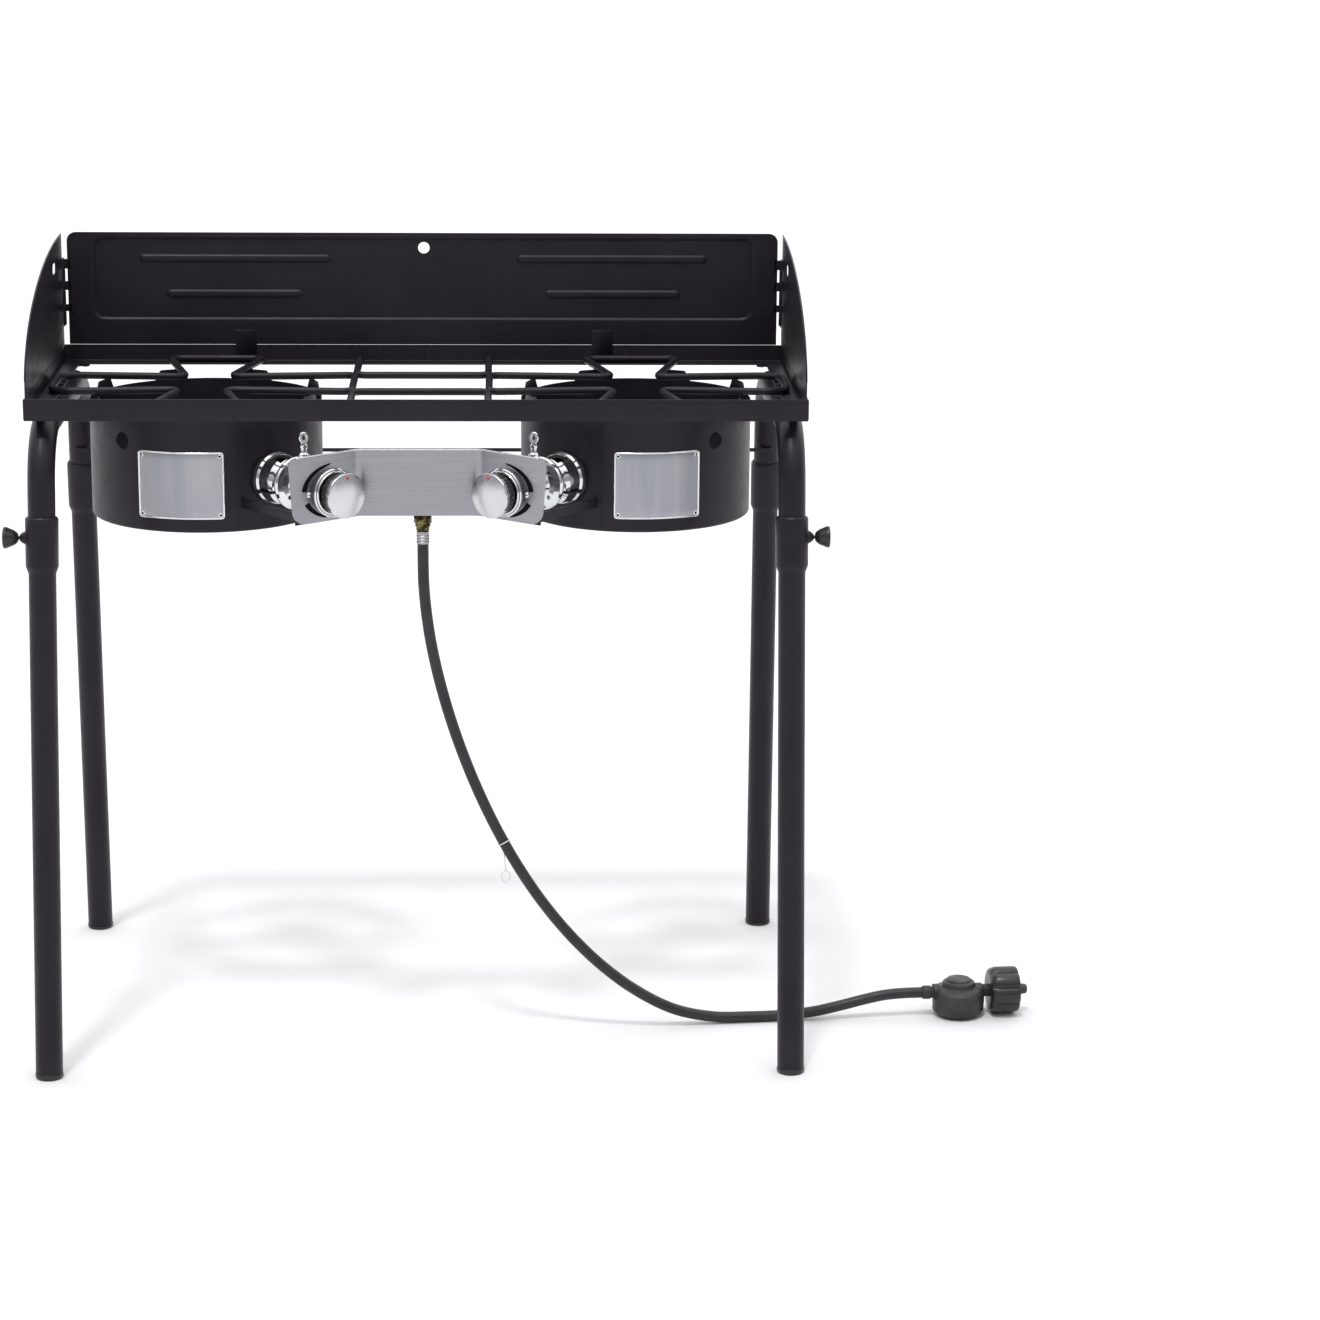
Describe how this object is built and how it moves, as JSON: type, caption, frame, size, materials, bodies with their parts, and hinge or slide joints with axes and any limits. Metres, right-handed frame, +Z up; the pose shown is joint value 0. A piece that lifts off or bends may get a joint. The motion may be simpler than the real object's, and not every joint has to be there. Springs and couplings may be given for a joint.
{
  "type": "two-burner propane camp stove on legs",
  "caption": "Freestanding gas cooker: angle-iron tray with rod grates over drum-shrouded burners, folding windscreen, angled control panel, splayed clamp-on legs and a gas hose with regulator",
  "frame": {"origin": "on the floor, midway between the four feet, under the middle of the tray", "axes": "+X to the right of a user facing the knobs, +Y from the front to the rear, +Z up"},
  "size_m": [1.1047, 0.5324, 0.842],
  "materials": {
    "powder_coat": "satin black powder coat",
    "brushed_steel": "brushed along its length",
    "badge_steel": "finely brushed, bright",
    "cast_burner": "rough cast, dark",
    "chrome_trim": "polished plating",
    "black_plastic": "semi-gloss moulded",
    "gas_brass": "machined, dulled",
    "bare_steel": "zinc plated",
    "hose_rubber": "matte black hose cover",
    "regulator_body": "die cast, dark painted"
  },
  "bodies": {
    "stove": {"badge_plate_left": "badge_steel", "badge_plate_right": "badge_steel", "brace_rod": "powder_coat", "burner_left": "cast_burner", "burner_right": "cast_burner", "burner_strap_left": "powder_coat", "burner_strap_right": "powder_coat", "control_panel": "brushed_steel", "drum_left": "powder_coat", "drum_right": "powder_coat", "grate_bar_front": "powder_coat", "grate_bar_rear": "powder_coat", "grate_loop_left": "powder_coat", "grate_loop_right": "powder_coat", "hose": "hose_rubber", "hose_ferrule": "bare_steel", "inlet_fitting": "gas_brass", "knob_bezel_left": "chrome_trim", "knob_bezel_right": "chrome_trim", "manifold_pipe": "powder_coat", "panel_bracket_left": "powder_coat", "panel_bracket_right": "powder_coat", "rail_front": "powder_coat", "rail_left": "powder_coat", "rail_rear": "powder_coat", "rail_right": "powder_coat", "regulator": "regulator_body", "support_left": "powder_coat", "support_right": "powder_coat", "valve_left": "gas_brass", "valve_right": "gas_brass"},
    "windscreen": {"windscreen_back": "powder_coat", "hinge_leaf_left": "powder_coat", "hinge_leaf_right": "powder_coat", "hinge_pin_left": "bare_steel", "hinge_pin_right": "bare_steel"},
    "windscreen_wing_left": {"windscreen_side_left": "powder_coat"},
    "control_left": {"knob_left": "black_plastic", "knob_cap_left": "chrome_trim"},
    "shutter_left": {"air_shutter_left": "chrome_trim"},
    "loop_screw_left": {"shutter_screw_left": "chrome_trim"},
    "windscreen_wing_right": {"windscreen_side_right": "powder_coat"},
    "control_right": {"knob_right": "black_plastic", "knob_cap_right": "chrome_trim"},
    "shutter_right": {"air_shutter_right": "chrome_trim"},
    "loop_screw_right": {"shutter_screw_right": "chrome_trim"},
    "lower_leg_front_left": {"leg_front_left": "powder_coat", "foot_cap_front_left": "black_plastic"},
    "clamp_front_left": {"leg_screw_front_left": "black_plastic"},
    "lower_leg_front_right": {"leg_front_right": "powder_coat", "foot_cap_front_right": "black_plastic"},
    "clamp_front_right": {"leg_screw_front_right": "black_plastic"},
    "lower_leg_rear_left": {"leg_rear_left": "powder_coat", "foot_cap_rear_left": "black_plastic"},
    "clamp_rear_left": {"leg_screw_rear_left": "black_plastic"},
    "lower_leg_rear_right": {"leg_rear_right": "powder_coat", "foot_cap_rear_right": "black_plastic"},
    "clamp_rear_right": {"leg_screw_rear_right": "black_plastic"},
    "hand_nut": {"coupling_nut": "black_plastic"}
  },
  "joints": [
    {"name": "knob_turn_left", "type": "hinge", "parent": "stove", "child": "control_left", "pos_m": [-0.07567, -0.19429, 0.617], "axis": [0.6293, -0.7771, 0], "range_deg": [0, 180]},
    {"name": "shutter_turn_left", "type": "hinge", "parent": "stove", "child": "shutter_left", "pos_m": [-0.1386, -0.11657, 0.617], "axis": [0.6293, -0.7771, 0], "range_deg": [0, 60]},
    {"name": "loop_screw_turn_left", "type": "hinge", "parent": "shutter_left", "child": "loop_screw_left", "pos_m": [-0.12098, -0.13833, 0.65], "axis": [0, 0, 1], "continuous": true},
    {"name": "knob_turn_right", "type": "hinge", "parent": "stove", "child": "control_right", "pos_m": [0.07567, -0.19429, 0.617], "axis": [0.6293, 0.7771, 0], "range_deg": [0, 180]},
    {"name": "shutter_turn_right", "type": "hinge", "parent": "stove", "child": "shutter_right", "pos_m": [0.1386, -0.11657, 0.617], "axis": [0.6293, 0.7771, 0], "range_deg": [0, 60]},
    {"name": "loop_screw_turn_right", "type": "hinge", "parent": "shutter_right", "child": "loop_screw_right", "pos_m": [0.12098, -0.13833, 0.65], "axis": [0, 0, 1], "continuous": true},
    {"name": "windscreen_lift", "type": "slide", "parent": "stove", "child": "windscreen", "axis": [0, 0, 1], "range_m": [0, 0.12]},
    {"name": "windscreen_fold_left", "type": "hinge", "parent": "windscreen", "child": "windscreen_wing_left", "pos_m": [-0.4042, 0.1715, 0.78], "axis": [0, 0, 1], "range_deg": [0, 90]},
    {"name": "windscreen_fold_right", "type": "hinge", "parent": "windscreen", "child": "windscreen_wing_right", "pos_m": [0.4042, 0.1715, 0.78], "axis": [0, 0, -1], "range_deg": [0, 90]},
    {"name": "leg_slide_front_left", "type": "slide", "parent": "stove", "child": "lower_leg_front_left", "axis": [-0.0058, -0.1132, -0.9936], "range_m": [0, 0.06]},
    {"name": "clamp_turn_front_left", "type": "hinge", "parent": "lower_leg_front_left", "child": "clamp_front_left", "pos_m": [-0.39064, -0.18648, 0.5708], "axis": [-1, 0.0007, 0.0058], "continuous": true},
    {"name": "leg_slide_front_right", "type": "slide", "parent": "stove", "child": "lower_leg_front_right", "axis": [0.0058, -0.1132, -0.9936], "range_m": [0, 0.06]},
    {"name": "clamp_turn_front_right", "type": "hinge", "parent": "lower_leg_front_right", "child": "clamp_front_right", "pos_m": [0.39064, -0.18648, 0.5708], "axis": [1, 0.0007, 0.0058], "continuous": true},
    {"name": "leg_slide_rear_left", "type": "slide", "parent": "stove", "child": "lower_leg_rear_left", "axis": [-0.0058, 0.1132, -0.9936], "range_m": [0, 0.06]},
    {"name": "clamp_turn_rear_left", "type": "hinge", "parent": "lower_leg_rear_left", "child": "clamp_rear_left", "pos_m": [-0.39072, 0.18801, 0.55739], "axis": [0.0007, 0.9936, 0.1132], "continuous": true},
    {"name": "leg_slide_rear_right", "type": "slide", "parent": "stove", "child": "lower_leg_rear_right", "axis": [0.0058, 0.1132, -0.9936], "range_m": [0, 0.06]},
    {"name": "clamp_turn_rear_right", "type": "hinge", "parent": "lower_leg_rear_right", "child": "clamp_rear_right", "pos_m": [0.39072, 0.18801, 0.55739], "axis": [-0.0007, 0.9936, 0.1132], "continuous": true},
    {"name": "hand_nut_turn", "type": "hinge", "parent": "stove", "child": "hand_nut", "pos_m": [0.64563, -0.07125, 0.027], "axis": [0.996, 0.0896, 0], "continuous": true}
  ]
}
